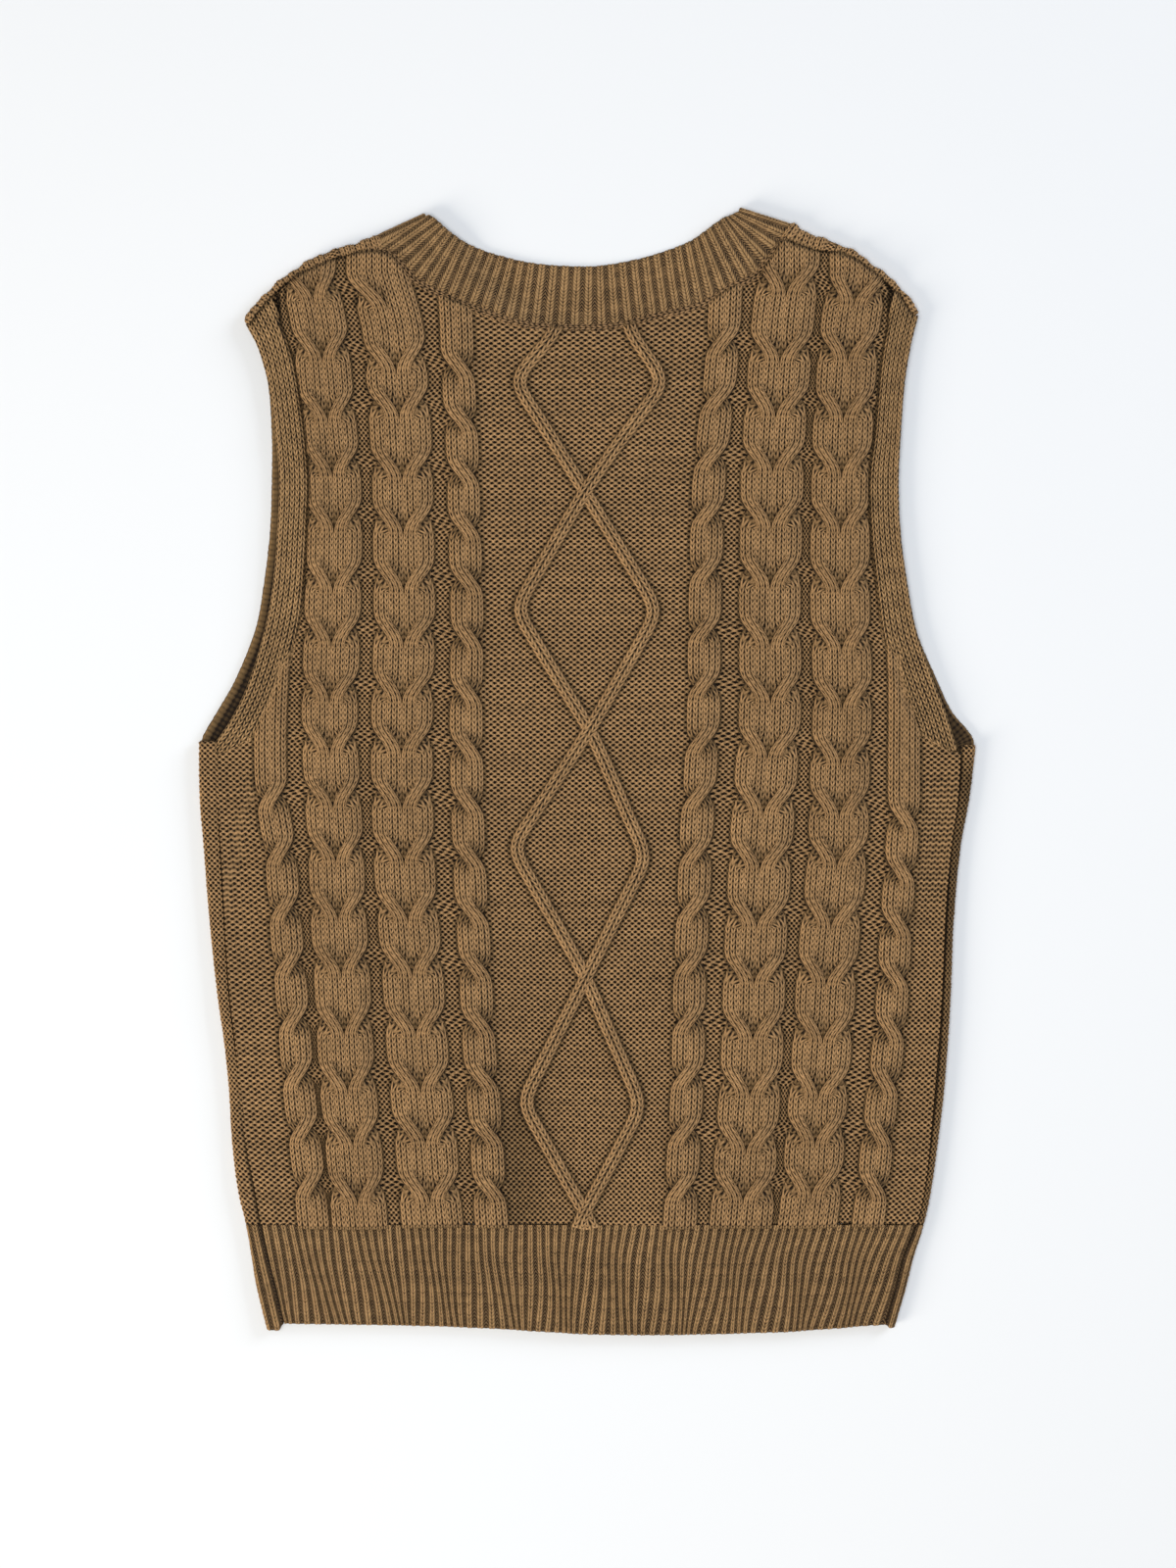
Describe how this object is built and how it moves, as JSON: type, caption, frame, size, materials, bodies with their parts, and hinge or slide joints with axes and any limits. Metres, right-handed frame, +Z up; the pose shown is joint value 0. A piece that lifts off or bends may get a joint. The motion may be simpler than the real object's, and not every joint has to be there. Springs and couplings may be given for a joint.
{
  "type": "knitted sweater vest",
  "caption": "Sleeveless cable-knit pullover vest laid flat on its front, with a ribbed crew neckband, ribbed hem and plain knit armhole edges.",
  "frame": {"origin": "middle of the laid-out vest, on the surface it rests on", "axes": "+Y from the hem to the neck, +Z up out of the surface, +X to the vest's right-hand side as the back is seen from above"},
  "size_m": [0.429, 0.6227, 0.0066],
  "materials": {
    "purl_and_cable_knit": "matt camel-brown wool, cables and a diamond lattice on reverse stockinette",
    "rib_knit": "the same yarn in 1x1 rib, darker in the furrows",
    "edge_knit": "the same yarn in plain stockinette along the armholes"
  },
  "bodies": {
    "root": {"back_panel": "purl_and_cable_knit", "front_panel": "purl_and_cable_knit", "back_hem_rib": "rib_knit", "front_hem_rib": "rib_knit", "neckband": "rib_knit", "back_armhole_edge_left": "edge_knit", "back_armhole_edge_right": "edge_knit", "front_armhole_edge_left": "edge_knit", "front_armhole_edge_right": "edge_knit"}
  },
  "joints": []
}
